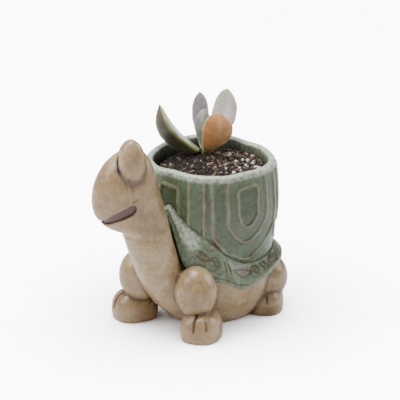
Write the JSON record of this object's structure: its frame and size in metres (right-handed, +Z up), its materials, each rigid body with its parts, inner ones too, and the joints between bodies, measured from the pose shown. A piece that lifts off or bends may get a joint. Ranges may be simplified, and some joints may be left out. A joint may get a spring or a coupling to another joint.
{
  "type": "animal shaped planter",
  "caption": "Glazed ceramic tortoise planter: the shell is the pot, with a flared skirt, a turned head and a succulent in a root ball that lifts out.",
  "frame": {"origin": "on the drain hole's axis, level with the soles of the feet", "axes": "+Z up along the pot's axis; the tortoise faces -Y; its left side is +X"},
  "size_m": [0.0894, 0.1268, 0.1289],
  "materials": {
    "green_glaze": "celadon glaze that breaks brown on the ridges",
    "cream_glaze": "cream crackle glaze stained brown in the creases",
    "potting_mix": "dark damp potting mix, a light fibrous solid",
    "perlite": "white perlite",
    "grit": "tan and brown grit",
    "stem": "green brown plant stem",
    "leaf_green": "fleshy grey green leaf",
    "leaf_grey": "fleshy pale grey leaf with a powdery bloom",
    "leaf_orange": "fleshy orange leaf with a green base"
  },
  "bodies": {
    "planter": {"shell_pot": "green_glaze", "shell_skirt": "green_glaze", "body": "cream_glaze", "head_and_neck": "cream_glaze", "left_eye": "cream_glaze", "right_eye": "cream_glaze", "front_left_leg": "cream_glaze", "front_left_foot": "cream_glaze", "front_right_leg": "cream_glaze", "front_right_foot": "cream_glaze", "rear_left_leg": "cream_glaze", "rear_left_foot": "cream_glaze", "rear_right_leg": "cream_glaze", "rear_right_foot": "cream_glaze", "tail": "cream_glaze"},
    "plant": {"potting_mix": "potting_mix", "perlite_grains": "perlite", "grit_grains": "grit", "plant_stem": "stem", "leaf_left": "leaf_green", "leaf_back_left": "leaf_grey", "leaf_back_right": "leaf_grey", "leaf_centre": "leaf_green", "leaf_front": "leaf_orange"}
  },
  "joints": [
    {"name": "root_ball_lift", "type": "slide", "parent": "planter", "child": "plant", "axis": [0, 0, 1], "range_m": [0, 0.1]}
  ]
}
